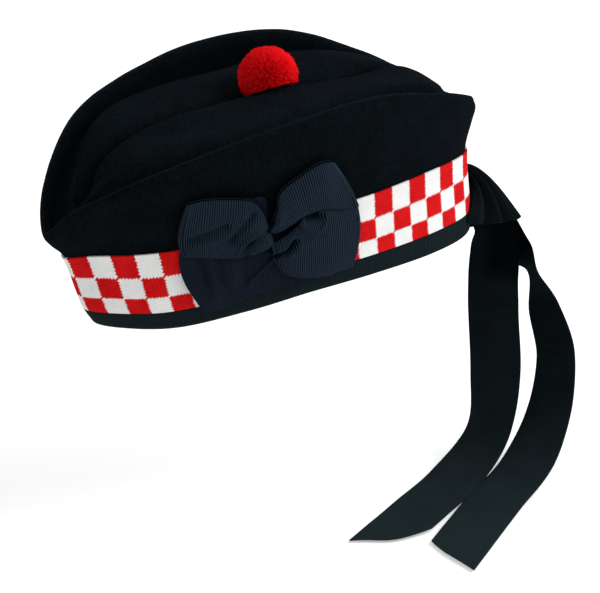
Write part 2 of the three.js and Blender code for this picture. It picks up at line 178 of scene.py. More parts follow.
def curve_through(a, b, c, d, step):
    """The stretch from b to c of a smooth curve through four points, with evened corners."""
    first, middle, last = (
        np.maximum(np.linalg.norm(q - p, axis=-1, keepdims=True) ** 0.5, 1e-4)
        for p, q in ((a, b), (b, c), (c, d))
    )
    leaving = ((b - a) / first - (c - a) / (first + middle) + (c - b) / middle) * middle
    arriving = ((c - b) / middle - (d - b) / (middle + last) + (d - c) / last) * middle
    eased = step * step * (3 - 2 * step)
    bend = leaving * (1 - step) ** 2 * step - arriving * step**2 * (1 - step)
    return b + (c - b) * eased + bend


def crown_point(angle, level):
    """Point on the outside of the wool, where the level counts rings from the rim."""
    angle, level = np.broadcast_arrays(np.asarray(angle, float), np.asarray(level, float))
    rings = np.stack([ring_point(ring, angle.ravel()) for ring in crown_rings])
    below, above = 2 * rings[:1] - rings[1:2], 2 * rings[-1:] - rings[-2:-1]
    rings = np.concatenate((below, rings, above))
    index = np.clip(np.floor(level.ravel()).astype(int), 0, crease_level - 1)
    step = (level.ravel() - index)[:, None]
    columns = np.arange(angle.size)
    points = curve_through(*(rings[index + k, columns] for k in range(4)), step)
    return points.reshape(angle.shape + (3,))


def crown_normal(angle, level):
    small = 0.001
    angle, level = np.broadcast_arrays(np.asarray(angle, float), np.asarray(level, float))
    around = crown_point(angle + small, level) - crown_point(angle - small, level)
    upward = crown_point(angle, np.minimum(level + small, crease_level))
    upward = upward - crown_point(angle, np.maximum(level - small, 0))
    normal = np.cross(around, upward)
    normal /= np.maximum(np.linalg.norm(normal, axis=-1, keepdims=True), 1e-9)
    normal[level >= crease_level] = (0, 0, 1)
    return normal


def crown_offset(angle, level, offset):
    return crown_point(angle, level) + crown_normal(angle, level) * np.asarray(offset)[..., None]


def swell(points, size, seed):
    """Soft unevenness from -1 to 1, with bumps of about the given size in millimetres."""
    flat = points.reshape(-1, 3) / size + seed
    return np.array([noise.noise(Vector(p)) for p in flat]).reshape(points.shape[:-1])


def new_piece(name, points, faces, places=None, sharp=60):
    """A mesh object from points in millimetres, with cloth places for each corner of its faces."""
    mesh = bpy.data.meshes.new(name)
    mesh.from_pydata((np.asarray(points) * mm).tolist(), [], np.asarray(faces).tolist())
    if places is not None:
        layer = mesh.uv_layers.new(name="cloth")
        layer.data.foreach_set("uv", np.asarray(places, np.float32).ravel())
    tidy = bmesh.new()
    tidy.from_mesh(mesh)
    bmesh.ops.remove_doubles(tidy, verts=tidy.verts, dist=1e-7)
    bmesh.ops.recalc_face_normals(tidy, faces=tidy.faces)
    tidy.to_mesh(mesh)
    tidy.free()
    mesh.polygons.foreach_set("use_smooth", [True] * len(mesh.polygons))
    mesh.set_sharp_from_angle(angle=math.radians(sharp))
    piece = bpy.data.objects.new(name, mesh)
    bpy.context.scene.collection.objects.link(piece)
    return piece


def strips(index, places, closed):
    """Four-cornered faces between the rows of a grid of point numbers, with their cloth places."""
    columns = index.shape[1]
    last = columns if closed else columns - 1
    near = np.arange(last)
    far = near + 1
    wrapped = far % columns
    faces = (index[:-1, near], index[:-1][:, wrapped], index[1:][:, wrapped], index[1:, near])
    corners = (places[:-1, near], places[:-1, far], places[1:, far], places[1:, near])
    return np.stack(faces, -1).reshape(-1, 4), np.stack(corners, -2).reshape(-1, 4, 2)


def build_crown():
    angles = np.linspace(0, 2 * np.pi, crown_columns, endpoint=False)
    outer_levels = np.linspace(0, crease_level, crease_level * rows_per_ring + 1)
    inner_levels = np.linspace(0, crease_level, crease_level * lining_rows_per_ring + 1)
    outer = crown_point(angles[None], outer_levels[:, None])
    still = np.clip(outer_levels - felt_swell["start"], 0, 1) * np.clip(crease_level - outer_levels, 0, 1)
    lift = felt_swell["rise"] * still[:, None] * swell(outer, felt_swell["size"], felt_swell["seed"])
    lift = lift + ridge_press * np.exp(-(((outer_levels - ridge_level) / ridge_press_width) ** 2))[:, None]
    outer = outer + crown_normal(angles[None], outer_levels[:, None]) * lift[..., None]
    beside = ((outer[..., 0] - toorie_nest["across"]) / toorie_nest["reach"]) ** 2
    along = ((outer[..., 1] - toorie_nest["along"]) / toorie_nest["length"]) ** 2
    nest = toorie_nest["rise"] * np.exp(-beside - along)
    outer[..., 2] += nest * (outer_levels > toorie_nest["start"])[:, None]
    inner = crown_offset(angles[None], inner_levels[:, None], np.full((1, crown_columns), -wool_thickness))
    rows = np.concatenate((inner[::-1], outer))
    index = np.arange(rows.shape[0] * crown_columns).reshape(rows.shape[:2])
    levels = np.concatenate((inner_levels[::-1], outer_levels))
    turns = np.linspace(0, 1, crown_columns + 1)
    places = np.stack(np.broadcast_arrays(turns[None], levels[:, None]), -1)
    faces, corners = strips(index, places, True)
    return new_piece("crown_wool", rows.reshape(-1, 3), faces, corners, sharp=75)


def add_node(tree, kind, *feeds, **settings):
    """A shader node: feeds go to its inputs in order, capital names are inputs and the others settings."""
    node = tree.nodes.new("ShaderNode" + kind)
    inputs = [(name, value) for name, value in settings.items() if name[0].isupper()]
    for name, value in settings.items():
        if not name[0].isupper():
            setattr(node, name, value)
    sockets = [(node.inputs[k], feed) for k, feed in enumerate(feeds)]
    sockets += [(node.inputs[name.replace("_", " ")], value) for name, value in inputs]
    for socket, feed in sockets:
        if isinstance(feed, bpy.types.NodeSocket):
            tree.links.new(feed, socket)
        elif feed is not None:
            socket.default_value = feed
    return node.outputs[0]


def maths(tree, operation, *feeds):
    return add_node(tree, "Math", *feeds, operation=operation)


def blend(tree, value, share, rest):
    """A share of a value, added to the rest."""
    return maths(tree, "MULTIPLY_ADD", value, share, rest)


def ramp(tree, feed, *stops):
    """Colours blended by a value: each stop is a place and a colour."""
    node = tree.nodes.new("ShaderNodeValToRGB")
    tree.links.new(feed, node.inputs[0])
    points = node.color_ramp.elements
    while len(points) < len(stops):
        points.new(0.5)
    for point, (place, colour) in zip(points, stops):
        point.position = place
        point.color = (*colour, 1)
    return node.outputs[0]


def cloth_finish(name, roughness, sheen, sheen_tint, gloss):
    """A cloth material: its node tree and its shader, with the values that are the same all over."""
    material = bpy.data.materials.new(name)
    material.use_nodes = True
    shader = material.node_tree.nodes["Principled BSDF"]
    shader.inputs["Roughness"].default_value = roughness
    shader.inputs["Specular IOR Level"].default_value = gloss
    shader.inputs["Sheen Weight"].default_value = sheen
    shader.inputs["Sheen Roughness"].default_value = 0.45
    shader.inputs["Sheen Tint"].default_value = (*sheen_tint, 1)
    return material, material.node_tree, shader


def cloth_inputs(tree):
    """Places in the whole body, and places along and across the cloth."""
    body = tree.nodes.new("ShaderNodeTexCoord").outputs["Object"]
    split = tree.nodes.new("ShaderNodeSeparateXYZ")
    tree.links.new(add_node(tree, "UVMap", uv_map="cloth"), split.inputs[0])
    return body, split.outputs["X"], split.outputs["Y"]


def set_surface(tree, shader, colour, relief, strength, depth):
    bump = add_node(tree, "Bump", Height=relief, Strength=strength, Distance=depth)
    tree.links.new(colour, shader.inputs["Base Color"])
    tree.links.new(bump, shader.inputs["Normal"])


def near_level(tree, level, mark):
    """A tone that is strongest on one level of the crown and fades away on both sides of it."""
    away = maths(tree, "SUBTRACT", level, mark["level"])
    spread = maths(tree, "MULTIPLY", maths(tree, "MULTIPLY", away, away), -1 / mark["width"] ** 2)
    return maths(tree, "MULTIPLY", maths(tree, "EXPONENT", spread), mark["tone"])


def felted_wool():
    material, tree, shader = cloth_finish("felted_wool", 0.95, 0.006, (0.55, 0.75, 1), gloss=0.006)
    body, _, level = cloth_inputs(tree)
    mottle = add_node(tree, "TexNoise", Vector=body, Scale=55, Detail=4, Roughness=0.6)
    nap = add_node(tree, "TexNoise", Vector=body, Scale=1150, Detail=3, Roughness=0.7)
    clumps = add_node(tree, "TexNoise", Vector=body, Scale=380, Detail=4, Roughness=0.65)
    fibre = blend(tree, clumps, 0.6, nap)
    tone = blend(tree, mottle, 0.16, blend(tree, fibre, 0.4, 0.105))
    # Painted highlight on the ridge crest, painted shade in the trench and crease, painted light on the top
    # panels
    for mark in (ridge_painted_highlight, trench_shade, crease_shade, top_painted_light):
        tone = maths(tree, "ADD", tone, near_level(tree, level, mark))
    colour = ramp(
        tree, tone,
        (0.36, (0.0008, 0.0015, 0.002)),
        (0.5, (0.0021, 0.0034, 0.0045)),
        (0.66, (0.0056, 0.0083, 0.0109)),
    )
    set_surface(tree, shader, colour, fibre, strength=0.6, depth=0.0006)
    return material


crown_wool = build_crown()
crown_wool.data.materials.append(felted_wool())
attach(crown_wool, "root")
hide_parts("crown")

# Dicing band
# A woven wool tape round the cap in three rows of red and white checks, 44 to the round,
# sewn flat on the wool above the binding.
seam = 0.3
tape_thickness = 1.2
checks_round = 44
first_check = 0.29
check_rows = (0, 0.292, 0.606, 1)
check_margin = 0.08
steps_per_check = 12
band_rows = 26
band_foot, band_top = 1, 2
teeth_per_check = 7
tooth_depth = 0.035
stray_depth = 0.03
twill_per_check = 11


def walk(points):
    """Length walked along a row of points, at each of them."""
    return np.concatenate(([0], np.cumsum(np.linalg.norm(np.diff(points, axis=0), axis=1))))


def even_angles(level, count):
    """Angles that part the crown's round into equal lengths of cloth, and that length in millimetres."""
    fine = np.linspace(0, 2 * np.pi, 4001)
    walked = walk(crown_point(fine, level))
    return np.interp(np.linspace(0, walked[-1], count + 1), walked, fine), walked[-1]


def grid_normals(grid, ring=False):
    across = (np.roll(grid, -1, 1) - np.roll(grid, 1, 1)) if ring else np.gradient(grid, axis=1)
    normal = np.cross(across, np.gradient(grid, axis=0))
    return normal / np.maximum(np.linalg.norm(normal, axis=-1, keepdims=True), 1e-9)


def cloth_sheet(name, middle, thickness, places, ring=False):
    """A sheet of cloth round a grid of middle points in millimetres, with two faces and closed edges."""
    rows, columns = middle.shape[:2]
    half = grid_normals(middle, ring) * thickness / 2
    points = np.concatenate((middle + half, middle - half)).reshape(-1, 3)
    face = np.arange(rows * columns).reshape(rows, columns)
    back = face + rows * columns
    parts = [strips(face, places, ring), strips(back, places, ring)]
    for edge in (0, -1):
        rim = np.stack((face[edge], back[edge]))
        parts.append(strips(rim, np.stack((places[edge], places[edge])), ring))
        if not ring:
            rim = np.stack((face[:, edge], back[:, edge]))
            parts.append(strips(rim, np.stack((places[:, edge], places[:, edge])), False))
    faces = np.concatenate([part[0] for part in parts])
    corners = np.concatenate([part[1] for part in parts])
    return new_piece(name, points, faces, corners)


def build_band():
    angles = even_angles((band_foot + band_top) / 2, checks_round * steps_per_check)[0]
    levels = np.linspace(band_foot, band_top, band_rows + 1)
    outward = np.full((1, len(angles) - 1), seam + tape_thickness / 2)
    middle = crown_offset(angles[None, :-1], levels[:, None], outward)
    counted = np.linspace(0, checks_round, len(angles)) + checks_round - first_check
    row = np.interp(np.linspace(0, 1, band_rows + 1), check_rows, np.arange(len(check_rows)))
    row = np.clip(row, check_margin, len(check_rows) - 1 - check_margin)
    places = np.stack(np.broadcast_arrays(counted[None], row[:, None]), -1)
    return cloth_sheet("dicing_tape", middle, tape_thickness, places, ring=True), middle


def wave(tree, feed, count=1):
    """A wave from -1 to 1 that repeats count times in each unit of a value."""
    return maths(tree, "SINE", maths(tree, "MULTIPLY", feed, 2 * math.pi * count))


def toothed(tree, along, across):
    """A check's edge, which steps in and out from thread to thread and strays a little."""
    count = maths(tree, "MULTIPLY", across, teeth_per_check)
    stray = add_node(tree, "TexWhiteNoise", W=maths(tree, "FLOOR", count), noise_dimensions="1D")
    edge = blend(tree, wave(tree, count), tooth_depth, along)
    return blend(tree, maths(tree, "SUBTRACT", stray, 0.5), stray_depth, edge)


def diced_weave():
    material, tree, shader = cloth_finish("diced_weave", 0.9, 0.01, (1, 0.95, 0.95), gloss=0.03)
    body, along, row = cloth_inputs(tree)
    column = maths(tree, "FLOOR", toothed(tree, along, row))
    level = maths(tree, "FLOOR", toothed(tree, row, along))
    white = maths(tree, "FLOORED_MODULO", maths(tree, "ADD", column, level), 2)
    # The twill lines climb across both colours
    twill = wave(tree, maths(tree, "ADD", along, row), twill_per_check)
    fuzz = add_node(tree, "TexNoise", Vector=body, Scale=1300, Detail=3, Roughness=0.6)
    soil = add_node(tree, "TexNoise", Vector=body, Scale=90, Detail=3, Roughness=0.6)
    shade = blend(tree, twill, 0.14, blend(tree, soil, 0.3, -0.15))
    shade = maths(tree, "ADD", shade, fuzz)
    red = ramp(
        tree, shade,
        (0.25, (0.29, 0.002, 0.003)), (0.55, (0.53, 0.005, 0.006)), (0.8, (0.62, 0.018, 0.018)),
    )
    cream = ramp(
        tree, shade,
        (0.2, (0.5, 0.5, 0.49)), (0.5, (0.69, 0.69, 0.68)), (0.8, (0.78, 0.78, 0.77)),
    )
    colour = add_node(tree, "MixRGB", white, red, cream)
    set_surface(tree, shader, colour, shade, strength=0.5, depth=0.0004)
    return material


dicing_tape, tape_grid = build_band()
dicing_tape.data.materials.append(diced_weave())
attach(dicing_tape, "root")
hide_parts("dicing_band")

# Binding
# A ribbed silk ribbon folded over the rim from inside to outside and sewn through under the band.
# Its ribs run across it, a little over a millimetre apart.
ribbon_thickness = 1.0
binding_top = 0.96
binding_middle = 0.5
binding_rows = dict(outside=8, turn=5, inside=6)
binding_rib = 1.25
rib_depth = 0.16
steps_per_rib = 4
threads_per_mm = 2.2


def build_binding():
    ribs = round(even_angles(binding_middle, 1)[1] / binding_rib)
    angles = even_angles(binding_middle, ribs * steps_per_rib)[0][:-1]
    outside = seam + ribbon_thickness / 2
    inside = -wool_thickness - outside
    profile = [(level, outside, 0) for level in np.linspace(binding_top, 0, binding_rows["outside"])]
    for turn in np.linspace(0, math.pi, binding_rows["turn"] + 2)[1:-1]:
        reach = (outside + inside) / 2 + (outside - inside) / 2 * math.cos(turn)
        profile.append((0, reach, outside * math.sin(turn)))
    profile += [(level, inside, 0) for level in np.linspace(0, binding_top, binding_rows["inside"])]
    rows = []
    for level, offset, drop in profile:
        row = crown_offset(angles, np.full(len(angles), level), np.full(len(angles), offset))
        row[:, 2] -= drop
        rows.append(row)
    middle = np.stack(rows)
    lift = rib_depth * np.sin(2 * np.pi * np.arange(len(angles)) / steps_per_rib)
    ribbed = middle - grid_normals(middle, True) * lift[None, :, None]
    counted = np.arange(len(angles) + 1) / steps_per_rib
    places = np.stack(np.broadcast_arrays(counted[None], walk(middle[:, 0])[:, None]), -1)
    return cloth_sheet("binding_ribbon", ribbed, ribbon_thickness, places, ring=True), middle


def ribbed_ribbon(name, dark, light, rib_painted_shade, gloss):
    """Navy ribbon whose ribs are counted along the cloth and painted darker and lighter in turn as painted
    shade of their grooves, with finer threads across it.
    """
    material, tree, shader = cloth_finish(name, 0.55, 0.02, (0.5, 0.8, 1), gloss)
    body, ribs, across = cloth_inputs(tree)
    rib = wave(tree, ribs)
    thread = wave(tree, across, threads_per_mm)
    wear = add_node(tree, "TexNoise", Vector=body, Scale=60, Detail=4, Roughness=0.6)
    fuzz = add_node(tree, "TexNoise", Vector=body, Scale=1500, Detail=2)
    # Painted shade: the colour darkens and lightens with each rib
    tone = blend(tree, rib, rib_painted_shade, blend(tree, wear, 0.3, 0.2))
    tone = blend(tree, fuzz, 0.3, tone)
    colour = ramp(tree, tone, (0.3, dark), (0.7, light))
    weave = blend(tree, thread, 0.4, rib)
    weave = blend(tree, fuzz, 0.5, weave)
    set_surface(tree, shader, colour, weave, strength=0.35, depth=0.0003)
    return material


binding_ribbon, binding_grid = build_binding()
binding_ribbon.data.materials.append(ribbed_ribbon(
    "binding_rib", dark=(0.0004, 0.0012, 0.0015), light=(0.006, 0.0118, 0.0137),
    rib_painted_shade=0.5, gloss=0.03,
))
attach(binding_ribbon, "root")
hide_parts("binding")

# Cockade
# A bow of wide ribbed navy ribbon on the left side: a flat base, a panel that reaches down to the rim, loops
# folded out to both sides, and a small knot that pinches them. It is stitched through the band.
cockade_ribbon = 0.8
cockade_rib = 1.45
cockade_rib_depth = 0.1
steps_per_cockade_rib = 6
loop_floor = 3.2
layer_gap = 1.1
wall_levels = (0.01, 4)
loop_fullness = 0.7
cockade_forms = {
    # Rows from the knot outward: where the ribbon's low and high edges are along the wall and above the
    # rim, how far its low edge, its middle and its high edge stand off the wool, and how far it bows.
    # Folds: points that a ridge or a groove passes, then how far it rises and its width. Hollow: how
    # far apart the two layers of a loop are at its low and high edges, or nothing for a single layer.
    "cockade_base": dict(
        node="cockade_base", hollow=None, columns=24,
        rows=((-61, 10.5, -69, 60, 2.3, 2.3, 2.3, -6), (-52, 12.3, -60, 80, 2.3, 2.3, 2.3, 0),
              (-43, 14.2, -44, 82, 2.3, 2.3, 2.3, 0), (-34, 16.6, -31, 81, 2.3, 2.3, 2.3, 0),
              (-25, 17.6, -21, 78, 2.3, 2.3, 2.3, 0), (-18, 17.8, -18, 60, 2.3, 2.3, 2.3, 0),
              (-8, 17.3, -8, 59, 2.3, 2.3, 2.3, 0), (12, 16.8, 12, 70, 2.3, 2.3, 2.3, 0),
              (26, 17.8, 24, 76, 2.3, 2.3, 2.3, 0), (31, 24, 31, 60, 2.3, 2.3, 2.3, 2)),
        folds=(),
    ),
    "cockade_panel": dict(
        node="cockade_base", hollow=None, columns=30,
        rows=((-8, 17.2, -10, 37, 3.4, 3.4, 3.4, 0), (-20, 18.2, -18, 40, 3.4, 3.7, 3.6, 0),
              (-32, 16.8, -28, 46, 3.4, 4.4, 3.8, 0), (-44, 13.8, -42, 49, 3.4, 5, 3.8, 0),
              (-54, 11.6, -57, 51, 3.4, 5, 3.8, -1), (-60.5, 10.4, -66, 52, 3.4, 4.4, 3.8, -2.5),
              (-62.8, 14.5, -70.5, 52, 3.4, 3.7, 3.6, -4)),
        folds=(
            ((-61, 46), (-58, 30), -1.4, 2.4),
            ((-49, 46), (-50, 30), -1.4, 2.6),
            ((-55, 48), (-54, 20), 1.2, 2.6),
            ((-41, 44), (-43, 27), 0.9, 3),
            ((-33, 42), (-38, 30), -0.7, 2.4),
            ((-17.7, 37), (-24.5, 32.8), (-31.2, 28.4), (-34.6, 25.8), 2.4, 0.9),
            ((-60.8, 14), (-66, 24), (-69.4, 35), (-70.2, 45), 0.4, 0.6),
        ),
    ),
    "cockade_left_loop": dict(
        node="cockade_left_loop", hollow=(1.6, 1.6), columns=34,
        rows=((-23, 47, -20.5, 61.5, 6.5, 7, 7, 0), (-31, 43.5, -24, 72, 8, 12, 7.5, 0),
              (-39, 43, -31.5, 82, 7.5, 12, 6.5, 0), (-50, 45, -47, 86.5, 7, 10.5, 6, 0),
              (-60, 47, -60, 88.6, 6.5, 8.5, 6, -1), (-67.5, 48.5, -67, 87.8, 6, 7, 5.8, -2.5),
              (-70.2, 49, -68.8, 87, 5.6, 5.8, 5.6, -2.8)),
        folds=(
            ((-20.6, 62.2), (-31.4, 59.2), (-37.1, 55), (-39.1, 45.2), 1.8, 1.6),
            ((-22, 56), (-30, 53), (-34, 47), -4.5, 3),
            ((-66.5, 61.9), (-57, 65.8), (-46.6, 70.4), -2.6, 2),
            ((-64, 56.5), (-55, 60), (-46, 64.5), 1.2, 2.4),
            ((-43.6, 57.7), (-36.3, 68.5), (-30.6, 73.7), -3.2, 2.4),
            ((-68.2, 50), (-69.6, 58), (-70.2, 67), (-69.3, 77), (-67, 86.5), 0.5, 0.6),
        ),
    ),
    "cockade_lower_loop": dict(
        node="cockade_lower_loop", hollow=(7, 7), columns=44,
        rows=((-18.5, 36, -19.5, 48.5, 6, 10.5, 9.5, 0), (-14.5, 29, -14.5, 50, 5, 12, 10, 0),
              (-9, 24, -6, 55.3, 4.6, 13, 10.5, 0), (2, 20.8, 3, 64, 4.5, 13, 9.5, 0),
              (13, 18.6, 15, 66, 4.5, 11.5, 7, 0), (23, 19.2, 27, 62, 4.5, 9, 5.5, 1),
              (30, 19.2, 37.5, 58, 4.5, 6, 5, 3.2), (31.5, 21, 39, 57.5, 4.4, 4.6, 4.6, 4)),
        folds=(
            ((-17.5, 39.3), (-12.5, 40.4), (-9, 43.2), (-6.3, 46.8), -10, 1.5),
            ((-5, 48), (3, 47.5), (11, 46), -1.2, 2),
            ((4.8, 61), (8, 60.2), -12, 2.8),
            ((-2, 57), (0.5, 54), (4, 50.8), (9, 50.3), (13, 54.2), (15, 60.5), 1.8, 1.4),
            ((-14, 36), (0, 34), (12, 30), -0.9, 2),
            ((-15, 32.5), (-4, 28), (6, 23.5), 0.7, 2),
            ((29.5, 20.5), (33.7, 27), (36.2, 34.5), (37.8, 44.5), (36.5, 54), 0.5, 0.6),
        ),
    ),
    "cockade_right_loop": dict(
        node="cockade_right_loop", hollow=(6, 1.8), columns=34,
        rows=((-20, 57, -17, 64.5, 9, 9.5, 8.5, 0), (-14.3, 56.6, -15.2, 74.5, 9.5, 11.5, 8.5, 0),
              (-6, 60.8, -13.8, 84.5, 10, 11.5, 7.5, 0), (4, 66, -1.5, 91, 10, 10.5, 6, 0),
              (15, 65.3, 10.5, 95.8, 9.2, 9.5, 6, 0), (27, 59.5, 18, 95.4, 8, 8, 6, 0),
              (39, 56, 20.5, 93.8, 6.5, 6.5, 5.6, 2)),
        folds=(
            ((-19, 61.5), (-14.9, 65.7), (-3.3, 66.6), (7.7, 67.8), (16.2, 66.6), (27.6, 61), 1, 1.6),
            ((-12, 78), (2, 82), (16, 82), 0.6, 5),
            ((37, 57.5), (34.7, 63.2), (30.1, 74.6), (23.7, 86.1), (19.6, 92.6), 0.5, 0.6),
        ),
    ),
    "cockade_knot": dict(
        node="cockade_knot", hollow=None, columns=16,
        rows=((-31, 43, -33.5, 48, 8, 9, 8.5, 0), (-26, 44.5, -29, 55.5, 9, 12.5, 11, 0),
              (-21.5, 46, -25, 61, 9.5, 13.5, 11, 0), (-18.5, 47.5, -19.5, 56, 9, 11, 10, 0)),
        folds=(((-22, 48), (-27, 54), -0.8, 1.2),),
    ),
}


def wall_angles(along, height):
    """Angle and level on the left wall at places along it and heights above the rim plane."""
    small = 0.001
    angle = np.full(along.shape, np.pi / 2)
    level = np.full(along.shape, 2.0)
    for _ in range(10):
        here = crown_point(angle, level)
        by_angle = (crown_point(angle + small, level) - here) / small
        by_level = (crown_point(angle, level + small) - here) / small
        miss_along, miss_height = along - here[..., 1], height - here[..., 2]
        scale = by_angle[..., 1] * by_level[..., 2] - by_level[..., 1] * by_angle[..., 2]
        angle = angle + (miss_along * by_level[..., 2] - miss_height * by_level[..., 1]) / scale
        level = level + (miss_height * by_angle[..., 1] - miss_along * by_angle[..., 2]) / scale
        level = np.clip(level, *wall_levels)
    return angle, level


def fold_relief(along, height, folds):
    """Height of ridges and grooves that follow lines of places on the wall."""
    relief = np.zeros(along.shape)
    here = np.stack((along, height), -1)
    for *line, rise, width in folds:
        nearest = np.full(along.shape, np.inf)
        for start, end in zip(np.array(line[:-1]), np.array(line[1:])):
            reach = end - start
            share = np.clip((here - start) @ reach / (reach @ reach), 0, 1)
            gap = np.linalg.norm(here - start - share[..., None] * reach, axis=-1)
            nearest = np.minimum(nearest, gap)
        relief += rise * np.exp(-((nearest / width) ** 2))
    return relief


def even_places(rows):
    """Places between the rows of a cockade ribbon, some to each rib and evenly spread along its middle."""
    fine = np.linspace(0, len(rows) - 1, 600)
    middle = np.stack([smooth_between((rows[:, k] + rows[:, k + 2]) / 2, fine) for k in (0, 1)], -1)
    walked = walk(middle)
    steps = steps_per_cockade_rib * round(walked[-1] / cockade_rib)
    return np.interp(np.linspace(0, walked[-1], steps + 1), walked, fine)


def cockade_grid(form):
    rows = np.array(form["rows"], float)
    across = np.linspace(0, 1, form["columns"] + 1)[None]
    place = even_places(rows)
    values = (smooth_between(column, place)[:, None] for column in rows.T)
    low_along, low, high_along, high, low_off, middle_off, high_off, bow = values
    dome = np.sin(np.pi * across)
    along = low_along + (high_along - low_along) * across + bow * dome
    height = low + (high - low) * across
    edges = low_off + (high_off - low_off) * across
    offset = edges + (middle_off - (low_off + high_off) / 2) * dome**loop_fullness
    offset = offset + fold_relief(along, height, form["folds"])
    if form["hollow"]:
        low_gap, high_gap = form["hollow"]
        under = np.maximum(edges - low_gap - (high_gap - low_gap) * across, loop_floor)
        offset = np.concatenate((np.maximum(offset, under + layer_gap), under[::-1]))
        along = np.concatenate((along, along[::-1]))
        height = np.concatenate((height, height[::-1]))
    return crown_offset(*wall_angles(along, height), offset)


def build_cockade(name, form):
    grid = cockade_grid(form)
    ribs = walk(grid[:, form["columns"] // 2]) / cockade_rib
    face = grid_normals(grid)
    outward = np.sign(face[: len(face) // 2, :, 0].sum())
    ribbed = grid + face * (outward * cockade_rib_depth * np.sin(2 * np.pi * ribs))[:, None, None]
    across = walk(grid[len(grid) // 2])
    places = np.stack(np.broadcast_arrays(ribs[:, None], across[None]), -1)
    piece = cloth_sheet(name + "_ribbon", ribbed, cockade_ribbon, places)
    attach(piece, "root")
    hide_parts(form["node"])
    return piece


loop_silk = ribbed_ribbon(
    "cockade_rib", dark=(0.0001, 0.0003, 0.0008), light=(0.0108, 0.0197, 0.0318),
    rib_painted_shade=0.6, gloss=0.015,
)
base_silk = ribbed_ribbon(
    "cockade_plain", dark=(0.0016, 0.0032, 0.0072), light=(0.0075, 0.0128, 0.0225),
    rib_painted_shade=0.12, gloss=0.02,
)
for cockade_name, cockade_form in cockade_forms.items():
    cockade_silk = base_silk if cockade_form["node"] == "cockade_base" else loop_silk
    build_cockade(cockade_name, cockade_form).data.materials.append(cockade_silk)

# Toorie
# The red pompom on the middle crease: thousands of cut wool strands tied into a head and
# trimmed round, pulled down between the two lips of the crease.
toorie_centre = np.array((0, 12.9, 127.4))
toorie_radius = 18.1
toorie_core = dict(radius=14, uneven=0.05, size=4, seed=9.1, shade=0.4)
strand_count = 14000
strand_root = 12
strand_width = 0.3
strand_stray = 0.04
strand_bend = 0.8
strand_uneven = 0.4
strand_sides = 3
strand_rings = (
    # Share of the strand's length, of its width and of its brightness at each ring; the brightness is
    # painted shade that darkens each strand towards its root deep in the pompom
    (0, 1.0, 0.3), (0.55, 0.9, 0.7), (1, 0.35, 1.0),
)
tuft_count = 420
tuft_stray = 0.05
tuft_pull = 0.42
tuft_uneven = 0.35
tuft_gap_depth = 0.5
# Strand tones: random tints for tufts and strands, painted shade in the gaps between tufts and painted shade
# on the underside
toorie_tint_and_shade = dict(middle=0.5, tuft=0.06, gap=0.06, strand=0.15, under=0.6, lift=0.2)
toorie_rest = np.array((4.5, 13, 120.8))
toorie_rest_reach = 4
toorie_rest_slope = math.radians(27)
crown_tree = BVHTree.FromPolygons(
    [v.co for v in crown_wool.data.vertices],
    [p.vertices for p in crown_wool.data.polygons],
)


def evenly_round(count):
    """Directions spread evenly over a ball."""
    up = 1 - 2 * (np.arange(count) + 0.5) / count
    turn = np.arange(count) * math.pi * (3 - math.sqrt(5))
    return np.stack((np.sqrt(1 - up**2) * np.cos(turn), np.sqrt(1 - up**2) * np.sin(turn), up), -1)


def press_on_cloth(points):
    """Pushes up what the near lip of the crease presses flat on the left side of the pompom."""
    upward = np.array((-math.sin(toorie_rest_slope), 0, math.cos(toorie_rest_slope)))
    on_lip = points[..., 0] > toorie_rest[0] - toorie_rest_reach
    depth = np.minimum((points - toorie_rest) @ upward, 0) * on_lip
    return points - depth[..., None] * upward


